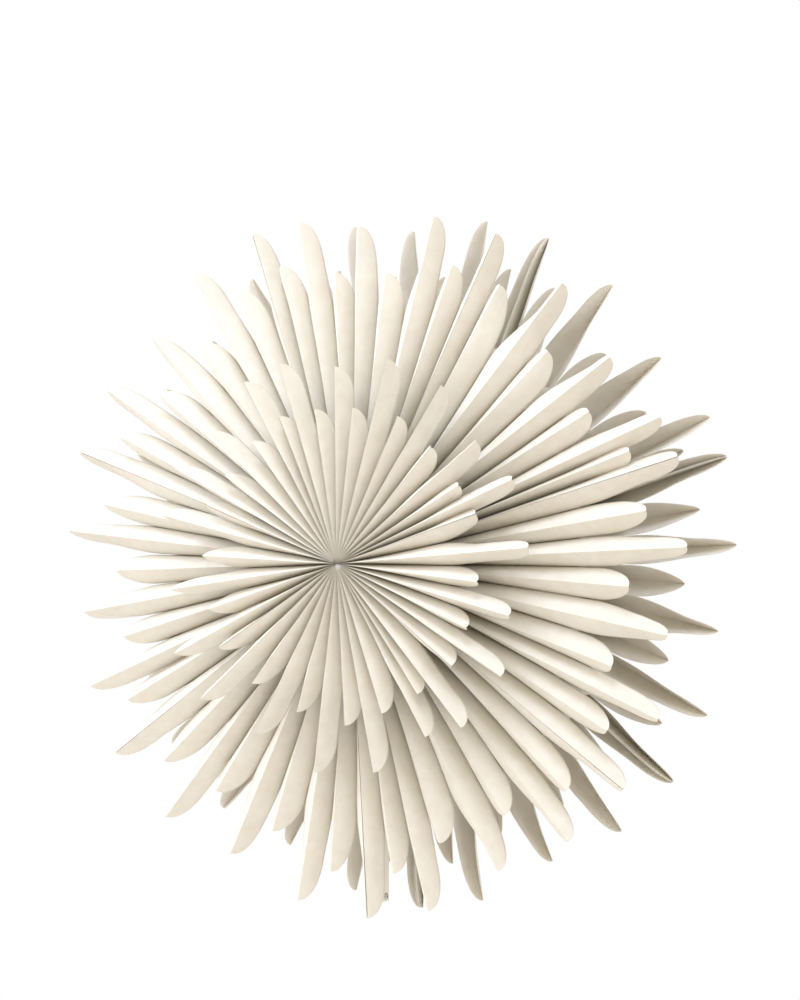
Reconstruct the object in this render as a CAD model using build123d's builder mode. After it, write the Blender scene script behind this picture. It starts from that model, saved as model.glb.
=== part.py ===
"""A paper star for hanging, folded and cut from plain ivory paper.

Seven books of flat paper sleeves are fanned out round one axis and closed into a ring. Every sleeve is a
flat tube: its two walls are glued to the walls of its neighbours, and its two folded edges stand free as
ridges, one towards the front and one towards the back. Past the slit each folded edge runs on as a rounded
petal, long and short in turn. A smaller rosette of pleated strips, one strip for each book, stands on the
front ridges round the hub, and its mirror image stands on the back.

The axis of the star is Y, its front looks along -Y and +Z is up. The origin is the middle of the hub.
"""
from build123d import *
import math
import os

os.makedirs("parts", exist_ok=True)

# Paper and glue
paper = 0.2
glue_gap = 0.2

# The ring of sleeves
star_radius = 250.0
spine_radius = 3.0
spine_depth = 68.0
tip_depth = 41.5
slit_radius = 167.0
pleat_width = 18.5
petal_width = 15.6
petal_rounding = 29.0

# The two rosettes
rosette_spine_radius = 5.0
rosette_radius = 147.0
rosette_slit_radius = 68.0
rosette_fall = 2.0
rosette_petal_width = 17.6
rosette_rounding = 22.0
valley_overlap = 1.5

# The closing tab and its eyelet
tab_paper = 0.3
tab_start_radius = 140.0
tab_end_radius = 240.5
tab_width = 9.0
tab_height = 14.0
eyelet_radius = 2.3
eyelet_bore_radius = 0.8
eyelet_barrel_radius = 1.3
eyelet_cap_height = 1.1
eyelet_inset = 3.5
running_clearance = 0.05

# Counts
books = 7
sleeves_in_book = 8
petals_in_strip = 6
rounding_steps = 2

# Where the star closes, as angles round the axis, counted from +X towards +Z
seam_angle = 268.6
rosette_seam_angle = 271.4

# How far each sleeve of a book reaches, as shares of the star's radius: long and short in turn,
# shorter towards the middle of the book
sleeve_reach_shares = (1.0, 0.875, 0.99, 0.815, 0.945, 0.82, 0.985, 0.88, 1.0)

# The same for the petals of one rosette strip, as shares of the rosette's radius
petal_reach_shares = (0.765, 1.0, 0.74, 0.93, 0.74, 1.0, 0.765)

# How far each fold leans from its even place, as shares of one step, one row for each book
sleeve_lean_shares = (
    (0.00, -0.05, -0.25, -0.30, 0.05, 0.05, 0.20, 0.05),
    (0.15, 0.20, 0.10, -0.05, 0.20, 0.40, 0.50, 0.55),
    (0.70, 0.25, -0.20, -0.15, -0.20, 0.10, 0.10, 0.55),
    (0.30, 0.15, 0.10, 0.25, 0.25, 0.05, 0.00, -0.15),
    (-0.60, -0.60, -0.60, -0.65, -0.55, -0.50, -0.65, -0.70),
    (-0.80, -0.65, -0.70, -0.65, -0.55, -0.55, -0.55, -0.75),
    (-0.70, -0.55, -0.50, -0.60, -0.30, -0.30, 0.00, -0.15),
)
petal_lean_shares = (
    (0.00, -0.05, -0.15, 0.20, -0.20, -0.55),
    (-0.25, -0.40, -0.50, -0.50, -0.50, -0.25),
    (0.30, -0.05, -0.30, -0.35, -0.20, -0.20),
    (-0.20, -0.10, -0.05, -0.20, -0.20, -0.15),
    (-0.45, -0.75, -0.80, -0.70, -0.80, -0.95),
    (-1.25, -1.35, -1.10, -0.85, -0.75, -0.75),
    (-1.05, -1.00, -0.85, -0.70, -0.35, -0.20),
)

# Worked out from the sizes above
seam_gap = tab_paper + 2 * glue_gap
rosette_depth = spine_depth + glue_gap + pleat_width
sleeve_step = 360 / (books * sleeves_in_book)
petal_step = 360 / (books * petals_in_strip)


def spot(radius, angle, height, aside=0.0):
    """A point at a radius and angle round the axis and a height before the middle, shifted aside."""
    turn = math.radians(angle)
    return Vector(
        radius * math.cos(turn) - aside * math.sin(turn),
        -height,
        radius * math.sin(turn) + aside * math.cos(turn),
    )


def ridge_height(radius):
    """How far the folded edge of a sleeve stands before the middle, at a radius."""
    return spine_depth - (spine_depth - tip_depth) * radius / star_radius


def rosette_height(radius):
    """How far a ridge of the rosette stands before the middle, at a radius."""
    return rosette_depth - rosette_fall * radius / rosette_radius


def petal_outline(root, tip, slit_end, width, rounding):
    """The flat outline of one half petal: its fold runs from root to tip, its free edge to the slit."""
    back = (root - tip).normalized()
    reach_aside = slit_end - tip
    across = (reach_aside - back * reach_aside.dot(back)).normalized()
    corners = [root, slit_end]
    for step in range(rounding_steps, 0, -1):
        swing = math.radians(90 * step / rounding_steps)
        corners.append(tip + back * (rounding * (1 - math.cos(swing))) + across * (width * math.sin(swing)))
    corners.append(tip)
    return corners


def sheet_plane(corners, inside):
    """The plane of a flat piece of paper, with its Z towards the side that the paper's thickness takes."""
    first = corners[0]
    along = (corners[-1] - first).normalized()
    normal = along.cross(corners[1] - first).normalized()
    if normal.dot(inside - first) < 0:
        normal = normal * -1
    return Plane(origin=first, x_dir=along, z_dir=normal)


def fold_plane(root, tip, towards):
    """The upright plane through a folded edge, with its Z on the side of the point towards."""
    normal = (tip - root).cross(Vector(0, 1, 0)).normalized()
    if normal.dot(towards - root) < 0:
        normal = normal * -1
    return Plane(origin=root, x_dir=(0, 1, 0), z_dir=normal)


def lay_sheets(sheets, *cuts):
    """Flat sheets of one piece of paper, thick towards the inside, mitred by the planes of their folds."""
    with BuildPart() as laid:
        for corners, inside in sheets:
            plane = sheet_plane(corners, inside)
            with BuildSketch(plane):
                with BuildLine():
                    Polyline(*[plane.to_local_coords(corner) for corner in corners], close=True)
                make_face()
        extrude(amount=paper)
        for cut in cuts:
            split(bisect_by=cut, keep=Keep.TOP)
    return laid.part


def spine_slot(folds, share):
    """The angle and the shift aside of a place at the spine, evenly spaced between the outermost folds."""
    first, last = folds[0], folds[-1]
    return first[0] + (last[0] - first[0]) * share, first[1] + (last[1] - first[1]) * share


def make_sleeve(slot, fold, walls, reach):
    """One sleeve: its ridges run from slot at the spine out along fold, its walls end at walls."""
    at_slit = ridge_height(slit_radius)
    ridge = spot(slit_radius, fold[0], at_slit, fold[1])
    core = (spot(slit_radius, walls[0][0], 0, walls[0][1]) + spot(slit_radius, walls[1][0], 0, walls[1][1])) * 0.5
    sides = []
    for angle, aside in walls:
        spread = (spot(slit_radius, angle, at_slit, aside) - ridge).length
        depth = at_slit - math.sqrt(pleat_width**2 - spread**2)
        halves = []
        for face in (1, -1):
            root = spot(spine_radius, slot[0], face * spine_depth, slot[1])
            tip = spot(reach, fold[0], face * ridge_height(reach), fold[1])
            slit = spot(slit_radius, angle, face * depth, aside)
            halves.append(petal_outline(root, tip, slit, petal_width, petal_rounding))
        front, back = halves
        if (angle, aside) == fold:
            sides.append(lay_sheets([(front[:1] + front[:0:-1] + back[1:] + back[:1], core)]))
        else:
            wall = [front[0], front[1], back[1], back[0]]
            cut = fold_plane(front[0], front[-1], front[1])
            sides.append(lay_sheets([(front, core), (wall, core), (back, core)], cut))
    with BuildPart() as sleeve:
        add(sides)
    return sleeve.part


def make_strip(folds):
    """One strip of a rosette, pleated over the given ridges, each an angle and a shift aside."""
    valleys = [((first[0] + second[0]) / 2, 0.0) for first, second in zip(folds, folds[1:])]
    walls = [folds[0], *valleys, folds[-1]]
    pleats = 2 * len(valleys)
    at_slit = rosette_height(rosette_slit_radius)
    at_spine = rosette_height(rosette_spine_radius)
    middle = spot(rosette_slit_radius, (folds[0][0] + folds[-1][0]) / 2, 0)
    sides = []
    for place, fold in enumerate(folds):
        reach = rosette_radius * petal_reach_shares[place]
        slot = spine_slot(folds, 2 * place / pleats)
        root = spot(rosette_spine_radius, slot[0], at_spine, slot[1])
        tip = spot(reach, fold[0], rosette_height(reach), fold[1])
        ridge = spot(rosette_slit_radius, fold[0], at_slit, fold[1])
        below = spot(rosette_slit_radius, fold[0], 0, fold[1])
        for turn, wall in zip((-1, 1), walls[place : place + 2]):
            spread = (spot(rosette_slit_radius, wall[0], at_slit, wall[1]) - ridge).length
            depth = at_slit - math.sqrt(pleat_width**2 - spread**2)
            slit = spot(rosette_slit_radius, wall[0], depth, wall[1])
            half = petal_outline(root, tip, slit, rosette_petal_width, rosette_rounding)
            if wall == fold:
                half.insert(1, spot(rosette_spine_radius, slot[0], rosette_depth - pleat_width, slot[1]))
                sides.append(lay_sheets([(half, middle)]))
                continue
            valley = spine_slot(folds, (2 * place + turn) / pleats)
            valley_root = spot(rosette_spine_radius, valley[0], at_spine, valley[1])
            along = (rosette_slit_radius - rosette_spine_radius) / (reach - rosette_spine_radius)
            down = (slit - root - (tip - root) * along).normalized()
            half[1:2] = [root + down * 2 * valley_overlap, slit + down * valley_overlap]
            cuts = fold_plane(root, tip, slit), fold_plane(valley_root, slit, ridge)
            sides.append(lay_sheets([(half, below)], *cuts))
    with BuildPart() as strip:
        add(sides)
    return strip.part


def fold_angles(first_angle, step, lean_shares):
    """The angle of every fold round the ring, from its even places and its leans, closed by the first."""
    angles = []
    for place, lean in enumerate(lean for row in lean_shares for lean in row):
        angles.append(first_angle + (place + lean) * step)
    return angles + [first_angle + 360]


def shift_aside(book, at_start):
    """How far the first or last fold of a book stands aside from the plane where two books meet."""
    at_seam = book == 0 if at_start else book == books - 1
    gap = seam_gap if at_seam else glue_gap
    return gap / 2 if at_start else -gap / 2


# The ring of sleeves: two glued sleeves to a file, the last of each book alone
sleeve_angles = fold_angles(seam_angle, sleeve_step, sleeve_lean_shares)
for book in range(books):
    first = book * sleeves_in_book
    folds = [(sleeve_angles[first + place], 0.0) for place in range(sleeves_in_book + 1)]
    folds[0] = (folds[0][0], shift_aside(book, True))
    folds[-1] = (folds[-1][0], shift_aside(book, False))
    meets = [(before[0] + after[0]) / 2 for before, after in zip(folds, folds[1:])]
    sleeves = []
    for place, fold in enumerate(folds):
        left = (meets[place - 1], glue_gap / 2) if place else fold
        right = (meets[place], -glue_gap / 2) if place < sleeves_in_book else fold
        slot = spine_slot(folds, place / sleeves_in_book)
        sleeves.append(make_sleeve(slot, fold, (left, right), star_radius * sleeve_reach_shares[place]))
    for place in range(0, sleeves_in_book + 1, 2):
        name = f"book_{book + 1}_sleeves_{place // 2 + 1}"
        with BuildPart() as pair:
            add(sleeves[place : place + 2])
        pair.part.label = name
        export_step(pair.part, f"parts/{name}.step")

# The rosettes: one strip to a book, on the front and mirrored on the back
petal_angles = fold_angles(rosette_seam_angle, petal_step, petal_lean_shares)
for book in range(books):
    first = book * petals_in_strip
    folds = [(petal_angles[first + place], 0.0) for place in range(petals_in_strip + 1)]
    folds[0] = (folds[0][0], glue_gap / 2)
    folds[-1] = (folds[-1][0], -glue_gap / 2)
    with BuildPart() as front_strip:
        add(make_strip(folds))
    front_strip.part.label = f"front_rosette_strip_{book + 1}"
    export_step(front_strip.part, f"parts/front_rosette_strip_{book + 1}.step")
    with BuildPart() as back_strip:
        add(mirror(front_strip.part, about=Plane.XZ))
    back_strip.part.label = f"back_rosette_strip_{book + 1}"
    export_step(back_strip.part, f"parts/back_rosette_strip_{book + 1}.step")

# The closing tab lies in the seam, between the last sleeve of the ring and the first
seam_out = Vector(math.cos(math.radians(seam_angle)), 0, math.sin(math.radians(seam_angle)))
seam_side = Vector(-math.sin(math.radians(seam_angle)), 0, math.cos(math.radians(seam_angle)))
tab_plane = Plane(origin=(0, -tab_height, 0), x_dir=seam_out, z_dir=seam_side)
eyelet_at = tab_end_radius - eyelet_inset
with BuildPart() as closing_tab:
    with BuildSketch(tab_plane):
        with Locations(((tab_start_radius + tab_end_radius) / 2, 0)):
            Rectangle(tab_end_radius - tab_start_radius, tab_width)
        with Locations((eyelet_at, 0)):
            Circle(eyelet_barrel_radius + running_clearance, mode=Mode.SUBTRACT)
    extrude(amount=tab_paper / 2, both=True)
closing_tab.part.label = "closing_tab"
export_step(closing_tab.part, "parts/closing_tab.step")

# The eyelet: a barrel through the tab with a domed cap on each face
cap_start = tab_paper / 2 + running_clearance
cap_end = cap_start + eyelet_cap_height
eyelet_plane = Plane(
    origin=seam_out * eyelet_at + Vector(0, -tab_height, 0),
    x_dir=seam_out,
    z_dir=seam_side.cross(seam_out) * -1,
)
with BuildPart() as tab_eyelet:
    with BuildSketch(eyelet_plane):
        with BuildLine():
            Polyline(
                (eyelet_bore_radius, -cap_end),
                ((eyelet_bore_radius + eyelet_radius) / 2, -cap_end),
                (eyelet_radius, -(cap_start + cap_end) / 2),
                (eyelet_radius, -cap_start),
                (eyelet_barrel_radius, -cap_start),
                (eyelet_barrel_radius, cap_start),
                (eyelet_radius, cap_start),
                (eyelet_radius, (cap_start + cap_end) / 2),
                ((eyelet_bore_radius + eyelet_radius) / 2, cap_end),
                (eyelet_bore_radius, cap_end),
                close=True,
            )
        make_face()
    revolve(axis=Axis(eyelet_plane.origin, seam_side))
tab_eyelet.part.label = "tab_eyelet"
export_step(tab_eyelet.part, "parts/tab_eyelet.step")
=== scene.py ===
# %% [markdown]
# # A folded paper star for hanging
#
# The star is made from flat paper sleeves. Their walls are glued side by side and their folded edges stand
# free, so when the stack is fanned out into a ring every fold becomes a rounded petal. A smaller pleated
# rosette sits on the hub, front and back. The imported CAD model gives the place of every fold. Here each
# folded sheet gets the soft bulge that paper takes when it springs open, and a paper finish.

import math
import random

import bmesh
import bpy
import numpy as np
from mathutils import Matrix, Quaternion, Vector


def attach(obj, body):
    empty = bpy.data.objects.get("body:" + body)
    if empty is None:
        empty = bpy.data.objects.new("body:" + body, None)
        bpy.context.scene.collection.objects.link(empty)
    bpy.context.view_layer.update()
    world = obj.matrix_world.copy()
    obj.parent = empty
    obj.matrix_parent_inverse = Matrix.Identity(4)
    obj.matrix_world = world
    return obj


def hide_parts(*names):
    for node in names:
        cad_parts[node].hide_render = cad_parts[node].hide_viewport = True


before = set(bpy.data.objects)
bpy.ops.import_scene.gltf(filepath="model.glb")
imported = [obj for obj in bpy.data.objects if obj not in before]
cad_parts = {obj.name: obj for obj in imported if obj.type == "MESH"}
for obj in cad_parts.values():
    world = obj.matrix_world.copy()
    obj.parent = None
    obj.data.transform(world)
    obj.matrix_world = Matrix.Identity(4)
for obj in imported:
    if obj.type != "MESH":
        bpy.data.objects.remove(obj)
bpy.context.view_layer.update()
mm = 0.001
bpy.context.scene.view_settings.view_transform = "Standard"

# %% [markdown]
# ## Reading the folds from the frame
#
# A fold could be typed in again as an angle and a length. It is safer to read it from the CAD mesh: the
# farthest point of each sleeve from the star's axis is the tip of its fold. The axis is Y, so the distance
# from it is measured in X and Z. A node can hold two sleeves, so its mesh is first split into the groups of
# points that its edges join.

# %% Find the separate solids of a node
same_point_decimals = 6


def node_points(name):
    """The points of a node, one row each, and the number of the solid that each belongs to."""
    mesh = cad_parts[name].data
    points = np.empty(len(mesh.vertices) * 3)
    mesh.vertices.foreach_get("co", points)
    points = points.reshape(-1, 3)
    # Points in the same place, to a thousandth of a millimetre, count as one.
    keys = {}
    merged = np.array([keys.setdefault(tuple(np.round(p, same_point_decimals)), len(keys)) for p in points])
    group = np.arange(len(keys))

    def root(i):
        while group[i] != i:
            group[i] = group[group[i]]
            i = group[i]
        return i

    for edge in mesh.edges:
        a, b = root(merged[edge.vertices[0]]), root(merged[edge.vertices[1]])
        group[a] = b
    return points, np.array([root(i) for i in merged])


print("solids in book_1_sleeves_1:", len(set(node_points("book_1_sleeves_1")[1])))


# %% Sort tips round the axis
def angle_of(point):
    """The angle of a point round the star's axis, in degrees from +X towards +Z."""
    return math.degrees(math.atan2(point[2], point[0]))


def degrees_between(angle, other):
    """How far an angle lies past another one, from -180 to 180 degrees."""
    return (angle - other + 180) % 360 - 180


def fanned(tips):
    """The folds that end at these tips, in order round the axis, as (angle, reach from the axis)."""
    middle = sum((Vector((t[0], t[2])).normalized() for t in tips), Vector((0, 0)))
    centre = math.degrees(math.atan2(middle.y, middle.x))
    folds = []
    for tip in tips:
        angle = centre + degrees_between(angle_of(tip), centre)
        folds.append((angle, math.hypot(tip[0], tip[2])))
    return sorted(folds)


# %% Find the folds of each book of sleeves
books = 7
book_folds = []
for book in range(1, books + 1):
    tips = []
    for name in sorted(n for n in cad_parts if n.startswith(f"book_{book}_")):
        points, solid = node_points(name)
        for number in set(solid):
            own = points[solid == number]
            tips.append(own[np.argmax(np.hypot(own[:, 0], own[:, 2]))])
    book_folds.append(fanned(tips))
print("folds in each book:", [len(folds) for folds in book_folds])

# %% Find the folds of each rosette strip
fall_allowed = 2.2 * mm
least_reach_share = 0.6
least_degrees_apart = 2.0


def strip_tips(name):
    """The tips of a strip's petals: the outermost points of its top folds, one for each fold."""
    points, _ = node_points(name)
    radius = np.hypot(points[:, 0], points[:, 2])
    top = np.abs(points[:, 1]).max()
    near_top = np.abs(points[:, 1]) > top - fall_allowed
    outer = points[near_top & (radius > least_reach_share * radius.max())]
    tips = []
    for point in sorted(outer, key=lambda p: -math.hypot(p[0], p[2])):
        apart = [abs(degrees_between(angle_of(point), angle_of(t))) for t in tips]
        if not apart or min(apart) > least_degrees_apart:
            tips.append(point)
    return tips


strip_folds = [fanned(strip_tips(f"front_rosette_strip_{n}")) for n in range(1, books + 1)]
print("folds in each strip:", [len(folds) for folds in strip_folds])

# %% [markdown]
# ## The paper
#
# The star is made of uncoated ivory paper. The paper machine lays its fibres in faint clouds, and nothing
# is spread over them, so the sheet is matte and never shines. It could be one plain colour, or a scanned
# sheet wrapped round the petals. Two layers of noise in the object's own space are enough instead: they
# need no unwrapping, and they run on over every fold.


# %% Material helpers
def linear(code):
    """A linear colour from an sRGB hex code."""
    values = [int(code[i : i + 2], 16) / 255 for i in (1, 3, 5)]
    return [v / 12.92 if v <= 0.04045 else ((v + 0.055) / 1.055) ** 2.4 for v in values] + [1.0]


def add_node(tree, kind, settings=None, links=()):
    """Adds a node, sets its values and links its inputs; a link is (input, source node, its output)."""
    node = tree.nodes.new(kind)
    for key, value in (settings or {}).items():
        if key in node.inputs:
            node.inputs[key].default_value = value
        else:
            setattr(node, key, value)
    for socket, source, output in links:
        tree.links.new(source.outputs[output], node.inputs[socket])
    return node


def new_material(name):
    """A material with an empty node tree, and that tree."""
    material = bpy.data.materials.new(name)
    material.use_nodes = True
    material.node_tree.nodes.clear()
    return material, material.node_tree


print("the hex code #808080 in linear light:", [round(v, 3) for v in linear("#808080")])

# %% Uncoated ivory paper
# To the eye, uncoated paper is matte, with faint clouds some 9 mm across in two ivories that hardly differ.
cloud_size = 9 * mm
darker_ivory, paler_ivory = "#E8E3D8", "#EDEAE1"
darker_from, paler_from = 0.3, 0.7
# A fibre is far too fine to show where a pixel is 0.71 mm wide, so the relief is drawn with grains of 3 mm.
fibre_size = 3.0 * mm
fibre_height = 0.1 * mm
relief_strength = 0.1

ivory_paper, tree = new_material("uncoated_ivory_paper")
place = add_node(tree, "ShaderNodeTexCoord")
in_place = ("Vector", place, "Object")
clouds = add_node(tree, "ShaderNodeTexNoise", {"Scale": 1 / cloud_size, "Detail": 3.0}, [in_place])
tint = add_node(tree, "ShaderNodeValToRGB", links=[("Fac", clouds, "Fac")])
stops = ((darker_from, darker_ivory), (paler_from, paler_ivory))
for stop, (position, ivory) in zip(tint.color_ramp.elements, stops):
    stop.position = position
    stop.color = linear(ivory)
fibres = add_node(tree, "ShaderNodeTexNoise", {"Scale": 1 / fibre_size, "Detail": 4.0}, [in_place])
relief = add_node(
    tree,
    "ShaderNodeBump",
    {"Strength": relief_strength, "Distance": fibre_height},
    [("Height", fibres, "Fac")],
)
# The loose fibres scatter light, so the paper is rough and mirrors only half as much as a smooth sheet.
paper_shader = add_node(
    tree,
    "ShaderNodeBsdfPrincipled",
    {"Roughness": 0.85, "IOR": 1.45, "Specular IOR Level": 0.25},
    [("Base Color", tint, "Color"), ("Normal", relief, "Normal")],
)
add_node(tree, "ShaderNodeOutputMaterial", links=[("Surface", paper_shader, "BSDF")])
print("nodes in", ivory_paper.name, len(tree.nodes))

# %% [markdown]
# ## Bending a sheet
#
# A sheet of paper that is folded and then opens doesn't stay flat on both sides of its fold. It leaves the
# fold at a wide angle and bends round until it lies along its neighbour, like half of a pointed arch. A
# cloth simulation could find that shape, but the crease is known, and so are the width of the paper and how
# far it opens, so a formula does it and gives the same petal every time. The arch is drawn across the fold,
# one short step of paper after another.

# %% Sizes of the folded paper
paper = 0.25 * mm
glue_gap = 0.2 * mm
star_radius = 250.0 * mm
hub_radius = 0.6 * mm
slit_radius = 167.0 * mm
spine_depth = 68.0 * mm
tip_depth = 41.5 * mm
# The margin is the paper from a fold to the glue. Past the slit it is cut down to half a petal.
margin = 18.5 * mm
petal_width = 15.6 * mm
petal_rounding = 29.0 * mm
back_rounding = 40.0 * mm
dice = random.Random(7)


def ridge_line(radius):
    """How far a fold of the ring stands from the star's middle plane."""
    return spine_depth - (spine_depth - tip_depth) * radius / star_radius


def ease(value, start, end):
    """0 before start, 1 after end, and a soft step between."""
    share = np.clip((value - start) / (end - start), 0, 1)
    return share * share * (3 - 2 * share)


print("ridge at the slit, mm:", round(ridge_line(slit_radius) / mm, 1))

# %% Rows along a fold
steps_along = 44
# Rows crowd towards the tip, where the rounded end needs them.
tip_crowding = 1.6
# The last row keeps a little width, so that no face shrinks to nothing.
narrowest_share = 0.02
# Two halves that lie flat on each other still stand this far aside.
pressed_flat = 0.02 * mm
# A half never leans over as far as its own paper reaches.
most_aside_share = 0.96


def half_rows(fold, edge_angle, look):
    """For each row: radius, how free it is of the glue, width of paper, share left by the round, opening."""
    angle, reach = fold
    along = np.linspace(0, 1, steps_along)
    radius = hub_radius + (reach - hub_radius) * (1 - (1 - along) ** tip_crowding)
    radius[-1] = reach
    half_angle = math.radians(abs(edge_angle - angle))
    at_wall = np.maximum(radius * math.sin(half_angle) - look["gap"], pressed_flat)
    free = ease(radius, look["slit"], look["slit"] + look["spring"])
    full = look["margin"] + (look["width"] - look["margin"]) * free
    # Close to the hub the folds crowd together, and less of the paper between them is drawn.
    full = np.minimum(full, look["margin"] * ease(radius, -look["hub_fade"], look["hub_fade"]))
    into_round = np.clip((radius - (reach - look["rounding"])) / look["rounding"], 0, 1)
    cut_share = np.maximum(np.sqrt(1 - into_round**2), narrowest_share)
    spread = at_wall * (1 - free) + look["opening"] * free
    return radius, free, full, cut_share, np.minimum(spread, full * most_aside_share)


# %% One half of a petal, from its fold to its free edge
steps_across = 9
# Below this bend, in radians to the metre, a row counts as this much bent, so nothing divides by zero.
least_bend = 1e-3
# No bent row counts as narrower than this, for the same reason.
least_width = 0.001 * mm


def half_petal(fold, side, edge_angle, look):
    """Points of one bent half: rows run along the fold, columns across from the fold to the edge."""
    radius, free, full, cut_share, spread = half_rows(fold, edge_angle, look)
    lean = np.arcsin(spread / full)
    bulge = look["inner_bulge"] + (look["bulge"] - look["inner_bulge"]) * free
    start, end = lean * (1 + bulge), lean * (1 - bulge)
    across = np.linspace(0, 1, steps_across)[None, :]
    length = full[:, None] * across * cut_share[:, None]
    bend = (end - start)[:, None] / full[:, None]
    bend = np.where(np.abs(bend) < least_bend, least_bend, bend)
    begin = start[:, None]
    aside = (np.cos(begin) - np.cos(begin + bend * length)) / bend
    depth = (np.sin(begin + bend * length) - np.sin(begin)) / bend
    # The bent paper is set to end as far aside as the opening says.
    whole = (np.cos(start) - np.cos(end)) / bend[:, 0]
    aside *= (spread / np.maximum(whole, least_width))[:, None]
    height = look["ridge"](radius)[:, None] - depth
    aside = aside * side + look["twist"] * (radius[:, None] / star_radius) ** 2
    turned = math.radians(fold[0])
    x = radius[:, None] * math.cos(turned) - aside * math.sin(turned)
    z = radius[:, None] * math.sin(turned) + aside * math.cos(turned)
    return np.stack([x, -height * look["face"], z], axis=-1)


print("points in half a petal:", steps_along * steps_across)

# %% The free edge of a half, and the turn of a petal
most_twist = 1.0 * mm


def free_edge(folds, number, side):
    """The angle at which a half's free edge lies, and whether it is the outermost of its book or strip."""
    neighbour = number + side
    outermost = neighbour < 0 or neighbour >= len(folds)
    edge_angle = folds[number][0] if outermost else (folds[number][0] + folds[neighbour][0]) / 2
    return edge_angle, outermost


def chance_twist(folds, number):
    """How far a petal is turned aside by chance. The two at a seam lie on their neighbours and aren't."""
    at_seam = number in (0, len(folds) - 1)
    return 0.0 if at_seam else dice.uniform(-1.0, 1.0) * most_twist


print("edge of the first fold of book 1, degrees:", round(free_edge(book_folds[0], 0, 1)[0], 1))

# %% [markdown]
# ## From points to a piece of paper
#
# Each half is a grid of points. The two halves of a petal share the row along their fold, so welding that
# row makes one sheet, with a crease where it turns sharply and smooth paper elsewhere. Both faces of the
# sheet could be drawn by hand. The Solidify modifier does it with one number, and gives the cut edges too.

# %% Join grids into one piece
weld_distance = 0.001 * mm
crease_angle = math.radians(35)


def sheet_faces(rows, columns, first, flip):
    """Four-sided faces between the points of a grid."""
    faces = []
    for i in range(rows - 1):
        for j in range(columns - 1):
            a = first + i * columns + j
            quad = (a, a + 1, a + columns + 1, a + columns)
            faces.append(quad[::-1] if flip else quad)
    return faces


def paper_piece(name, grids, *nodes):
    """A mesh from grids of (points, flip), with the thickness of paper, standing for CAD nodes."""
    points, faces = [], []
    count = 0
    for grid, flip in grids:
        rows, columns = grid.shape[:2]
        faces += sheet_faces(rows, columns, count, flip)
        points.append(grid.reshape(-1, 3))
        count += rows * columns
    mesh = bpy.data.meshes.new(name)
    mesh.from_pydata(np.concatenate(points).tolist(), [], faces)
    weld = bmesh.new()
    weld.from_mesh(mesh)
    bmesh.ops.remove_doubles(weld, verts=weld.verts, dist=weld_distance)
    weld.to_mesh(mesh)
    weld.free()
    mesh.shade_smooth()
    mesh.set_sharp_from_angle(angle=crease_angle)
    mesh.materials.append(ivory_paper)
    piece = bpy.data.objects.new(name, mesh)
    bpy.context.scene.collection.objects.link(piece)
    thick = piece.modifiers.new("paper thickness", "SOLIDIFY")
    thick.thickness = paper
    thick.offset = 0
    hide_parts(*nodes)
    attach(piece, "root")
    return piece


print("faces in half a petal:", len(sheet_faces(steps_along, steps_across, 0, False)))

# %% [markdown]
# ## The ring of petals
#
# Long and short petals take turns round the ring, nine sleeves to each of the seven books. On the real star
# no two open quite alike. Here the short ones spring a little wider than the long ones, the ones at the
# back stay narrower and are cut to a longer point, and a small chance change makes each petal its own. A
# modifier could copy one petal 63 times, but then every fold would have the same length and bend. Where two
# books meet, the outermost halves lie flat on each other and make a double ridge.

# %% Looks of the petals of the ring
long_opening, short_opening, back_opening = 7.8 * mm, 8.6 * mm, 6.6 * mm
ring_spring = 55 * mm
ring_hub_fade = 40 * mm
ring_inner_bulge = 0.6
# By chance a petal opens to between these shares of its opening, and bulges by between these shares.
ring_opening_shares = (0.88, 1.1)
ring_bulge_shares = (0.15, 0.4)
wall_margin = paper / 2 + glue_gap / 2


def ring_look(face, long_petal, outermost, twist):
    """How half of a ring petal opens; face is 1 at the front and -1 at the back."""
    front_opening = long_opening if long_petal else short_opening
    opening = front_opening if face > 0 else back_opening
    opening = pressed_flat if outermost else opening * dice.uniform(*ring_opening_shares)
    return {
        "slit": slit_radius,
        "width": petal_width,
        "rounding": petal_rounding if face > 0 else back_rounding,
        "margin": margin,
        "spring": ring_spring,
        "hub_fade": ring_hub_fade,
        "opening": opening,
        "inner_bulge": ring_inner_bulge,
        "bulge": dice.uniform(*ring_bulge_shares),
        "twist": twist,
        "ridge": ridge_line,
        "face": face,
        "gap": wall_margin,
    }


print("half a sheet and half the glue beside it, mm:", round(wall_margin / mm, 3))

# %% The flat walls of a sleeve
wall_columns = 4


def wall_grid(front, back):
    """The wall between the edges of a sleeve's front and back halves, from the hub out to the slit."""
    radius = np.hypot(front[:, -1, 0], front[:, -1, 2])
    inside = radius <= slit_radius
    across = np.linspace(0, 1, wall_columns)[None, :, None]
    return front[inside, -1, None] * (1 - across) + back[inside, -1, None] * across


# %% Draw one sleeve
def sleeve_grids(folds, number):
    """The grids of a sleeve: on each side a front half, a back half and the wall between them."""
    long_petal = number % 2 == 0
    twists = {face: chance_twist(folds, number) for face in (1, -1)}
    grids = []
    for side in (-1, 1):
        edge_angle, outermost = free_edge(folds, number, side)
        halves = []
        for face in (1, -1):
            look = ring_look(face, long_petal, outermost, twists[face])
            halves.append(half_petal(folds[number], side, edge_angle, look))
            grids.append((halves[-1], side * face > 0))
        grids.append((wall_grid(*halves), side > 0))
    return grids


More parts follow.
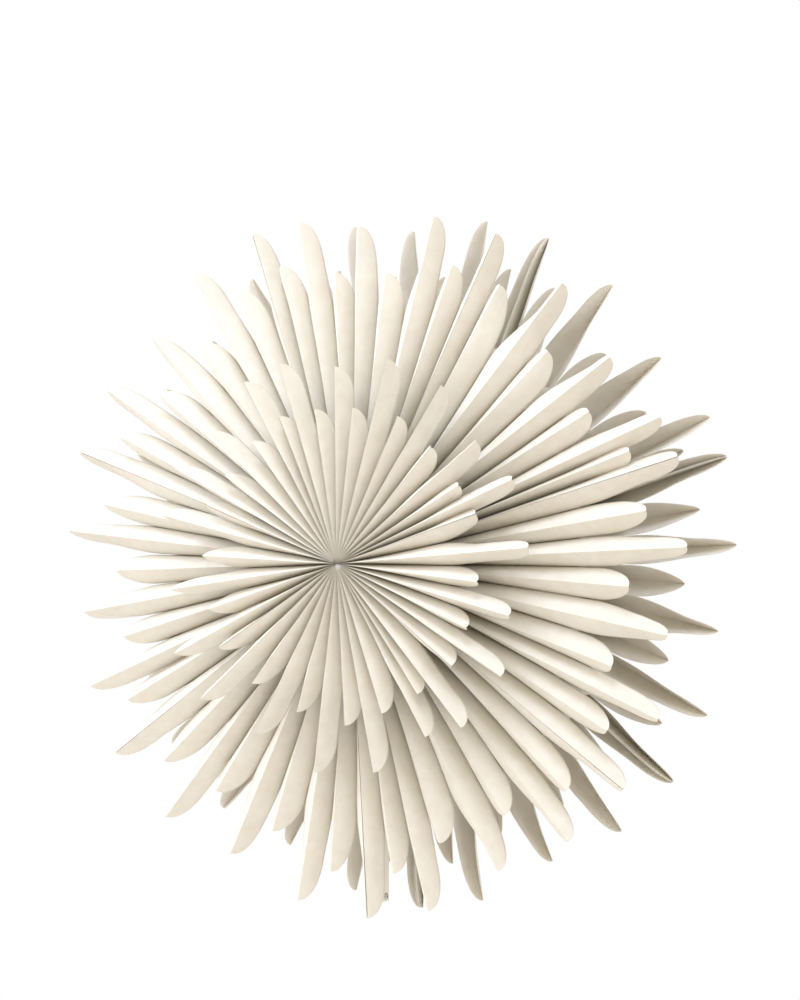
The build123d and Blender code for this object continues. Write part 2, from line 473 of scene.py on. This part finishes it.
# %% Build the ring, one piece for each CAD node
sleeves_to_a_node = 2
ring_pieces = []
for book, folds in enumerate(book_folds, start=1):
    sleeves = [sleeve_grids(folds, number) for number in range(len(folds))]
    for first in range(0, len(folds), sleeves_to_a_node):
        name = f"book_{book}_sleeves_{first // sleeves_to_a_node + 1}"
        own = [grid for sleeve in sleeves[first : first + sleeves_to_a_node] for grid in sleeve]
        ring_pieces.append(paper_piece(f"folded_{name}", own, name))
print("ring pieces:", len(ring_pieces))

# %% [markdown]
# ## The rosettes
#
# A rosette strip is one sheet pleated like a fan. Its top folds run nearly level from the hub, and past its
# slits each fold ends in a small rounded petal. It needs no new way of drawing: it is made from the same
# half petals as the ring, with other sizes and without walls. The back rosette takes its folds from the
# front one, because the two are mirror images.

# %% Looks of the rosette petals
rosette_radius = 147.0 * mm
rosette_slit = 68.0 * mm
rosette_width = 17.6 * mm
rosette_rounding = 22.0 * mm
rosette_top = 86.7 * mm
rosette_fall = 2.0 * mm
rosette_opening = 6.5 * mm
rosette_spring = 35 * mm
rosette_hub_fade = 1 * mm
rosette_inner_bulge = 0.5
rosette_opening_shares = (0.85, 1.15)
rosette_bulge_shares = (0.05, 0.3)


def rosette_line(radius):
    """How far a fold of the rosette stands from the star's middle plane."""
    return rosette_top - rosette_fall * radius / rosette_radius


def rosette_look(face, outermost, twist):
    """How half of a rosette petal opens; face is 1 at the front and -1 at the back."""
    opening = pressed_flat if outermost else rosette_opening * dice.uniform(*rosette_opening_shares)
    return {
        "slit": rosette_slit,
        "width": rosette_width,
        "rounding": rosette_rounding,
        "margin": margin,
        "spring": rosette_spring,
        "hub_fade": rosette_hub_fade,
        "opening": opening,
        "inner_bulge": rosette_inner_bulge,
        "bulge": dice.uniform(*rosette_bulge_shares),
        "twist": twist,
        "ridge": rosette_line,
        "face": face,
        "gap": 0.0,
    }


over_ring = rosette_line(rosette_slit) - ridge_line(rosette_slit)
print("rosette over the ring at the rosette's slit, mm:", round(over_ring / mm, 1))


# %% Draw one strip
def strip_grids(folds, face):
    """The grids of a strip: two halves for each of its folds."""
    grids = []
    for number, fold in enumerate(folds):
        twist = chance_twist(folds, number)
        for side in (-1, 1):
            edge_angle, outermost = free_edge(folds, number, side)
            half = half_petal(fold, side, edge_angle, rosette_look(face, outermost, twist))
            grids.append((half, side * face > 0))
    return grids


# %% Build the strips
strip_pieces = []
for face, word in ((1, "front"), (-1, "back")):
    for strip, folds in enumerate(strip_folds, start=1):
        name = f"{word}_rosette_strip_{strip}"
        strip_pieces.append(paper_piece(f"pleated_{name}", strip_grids(folds, face), name))
print("strip pieces:", len(strip_pieces))

# %% [markdown]
# ## The closing tab
#
# A pale strip comes out of the seam between the first and the last book. It is taken to be white card:
# bleached, so it is paler than the paper, and pressed between smooth rollers, so it is a little less matte.
# It could be drawn anew, but it is flat and small, so its CAD mesh is already the right shape and only its
# finish is new.


# %% Finish for a piece that keeps its CAD mesh
def plain_finish(material_name, settings, piece_name):
    """Gives a CAD piece a material that is the same all over."""
    material, tree = new_material(material_name)
    shader = add_node(tree, "ShaderNodeBsdfPrincipled", settings)
    add_node(tree, "ShaderNodeOutputMaterial", links=[("Surface", shader, "BSDF")])
    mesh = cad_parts[piece_name].data
    mesh.materials.clear()
    mesh.materials.append(material)
    print(piece_name, "is made of", material_name)


# %% Smooth white card
# To the eye, smooth card is a clean white with the faintest sheen.
card = {"Base Color": linear("#F4F2EC"), "Roughness": 0.6, "IOR": 1.45}
plain_finish("smooth_white_card", card, "closing_tab")

# %% [markdown]
# ## The eyelet
#
# The eyelet at the end of the tab is stamped from thin steel and plated with nickel. The plating follows
# every small dent of the stamping, so the rim mirrors its surroundings softly and shows no sharp
# reflection. Such dents could be drawn as a relief, but the eyelet is only a few pixels wide, so a rough
# metal with one warm grey gives the same look.

# %% Nickel-plated steel
# To the eye, the plated rim is a warm grey with soft highlights.
steel = {"Base Color": linear("#B9B4AA"), "Metallic": 1.0, "Roughness": 0.32}
plain_finish("nickel_plated_steel", steel, "tab_eyelet")

# %% [markdown]
# ## The camera
#
# The star is seen from 28 degrees to its right, level with it, and turned a little in the picture. The
# camera could be moved by eye. It is placed by angles instead, and its lens is worked out so that one pixel
# is 0.71 mm wide at the star, which gives the star its real size in the picture.

# %% Camera
picture_height_px = 1000
px_size = 0.71 * mm
# The two distances are in metres.
camera_distance = 3.3
far_end_of_view = 20
camera_azimuth = math.radians(28)
camera_elevation = math.radians(0)
camera_roll = math.radians(-1.2)
aim_above_hub = 61 * px_size
aim_beside_hub = 6 * px_size

back = Vector(
    (
        math.sin(camera_azimuth) * math.cos(camera_elevation),
        -math.cos(camera_azimuth) * math.cos(camera_elevation),
        math.sin(camera_elevation),
    )
)
aim = Vector((math.cos(camera_azimuth), math.sin(camera_azimuth), 0)) * aim_beside_hub
aim.z = aim_above_hub
camera_data = bpy.data.cameras.new("camera")
camera_data.lens = camera_data.sensor_width * camera_distance / (picture_height_px * px_size)
camera_data.clip_end = far_end_of_view
camera = bpy.data.objects.new("camera", camera_data)
bpy.context.scene.collection.objects.link(camera)
camera.location = aim + back * camera_distance
camera.rotation_mode = "QUATERNION"
camera.rotation_quaternion = (-back).to_track_quat("-Z", "Y") @ Quaternion((0, 0, 1), camera_roll)
bpy.context.scene.camera = camera
print("camera lens mm:", round(camera_data.lens, 1))

# %% [markdown]
# ## The light
#
# The star stands in soft warm light from all round, which keeps the valleys between the petals from going
# black. Four large, slightly blue lamps add light and shade: the one on the left is the strongest, so the
# petals on that side are nearly white and those on the right show a bright and a shaded flank. One small
# lamp could light the star too, but its hard shadows would cut across the petals.

# %% Lamps
daylight = "#E4ECFF"
# Each lamp has its place in metres from the star's middle, its width in metres and its power in watts.
lamps = {
    "top": ((0.3, -1.1, 2.1), 1.0, 24.0),
    "left": ((-1.9, -0.6, 1.1), 1.6, 33.0),
    "front": ((-0.9, -1.9, 1.2), 1.0, 18.0),
    "right": ((2.1, -0.6, 0.8), 1.0, 10.0),
}


def soft_lamp(name, place, width, power):
    """A square area lamp aimed at the star, and not seen by the camera itself."""
    data = bpy.data.lights.new(name, "AREA")
    data.shape = "SQUARE"
    data.size = width
    data.energy = power
    data.color = linear(daylight)[:3]
    lamp = bpy.data.objects.new(name, data)
    bpy.context.scene.collection.objects.link(lamp)
    lamp.location = place
    lamp.rotation_mode = "QUATERNION"
    lamp.rotation_quaternion = (-Vector(place)).to_track_quat("-Z", "Y")
    lamp.visible_camera = False


for name, (place, width, power) in lamps.items():
    soft_lamp(name, place, width, power)
print("lamps:", len(lamps), "watts in all:", sum(power for _, _, power in lamps.values()))

# %% [markdown]
# ## The white surroundings and the floor
#
# A white wall could be lit until it is white, but then the same light would wash out the star. So the world
# has two sides: what lights the paper is the warm soft light, and what the camera sees, directly, mirrored
# or through something, is plain white. The floor is a pale matte disc under the star, which catches its
# shadow.

# %% World
soft_light_colour, soft_light_strength = "#FFF3DE", 0.76
world = bpy.data.worlds.new("studio")
bpy.context.scene.world = world
world.use_nodes = True
tree = world.node_tree
tree.nodes.clear()
rays = add_node(tree, "ShaderNodeLightPath")
larger = {"operation": "MAXIMUM"}
seen_or_mirrored = [(0, rays, "Is Camera Ray"), (1, rays, "Is Glossy Ray")]
seen = add_node(tree, "ShaderNodeMath", larger, seen_or_mirrored)
seen = add_node(tree, "ShaderNodeMath", larger, [(0, seen, "Value"), (1, rays, "Is Transmission Ray")])
soft_light = add_node(
    tree,
    "ShaderNodeBackground",
    {"Color": linear(soft_light_colour), "Strength": soft_light_strength},
)
plain_white = add_node(tree, "ShaderNodeBackground", {"Color": linear("#FFFFFF"), "Strength": 1.0})
either = add_node(
    tree,
    "ShaderNodeMixShader",
    links=[("Fac", seen, "Value"), (1, soft_light, "Background"), (2, plain_white, "Background")],
)
add_node(tree, "ShaderNodeOutputWorld", links=[("Surface", either, "Shader")])
print("nodes in the world:", len(tree.nodes))

# %% Floor
# To the eye, matte white paint is an even, pale ground. Its sizes are in metres.
floor_radius = 0.9
floor_below_hub = 0.6
floor_sides = 96
floor_material, tree = new_material("matte_white_floor")
floor_finish = {"Base Color": linear("#F4F2EE"), "Roughness": 0.9}
floor_shader = add_node(tree, "ShaderNodeBsdfPrincipled", floor_finish)
add_node(tree, "ShaderNodeOutputMaterial", links=[("Surface", floor_shader, "BSDF")])
bpy.ops.mesh.primitive_circle_add(
    vertices=floor_sides, radius=floor_radius, fill_type="NGON", location=(0, 0, -floor_below_hub)
)
floor = bpy.context.object
floor.name = "floor"
floor.data.materials.append(floor_material)
print("floor below the star's middle, m:", floor_below_hub)
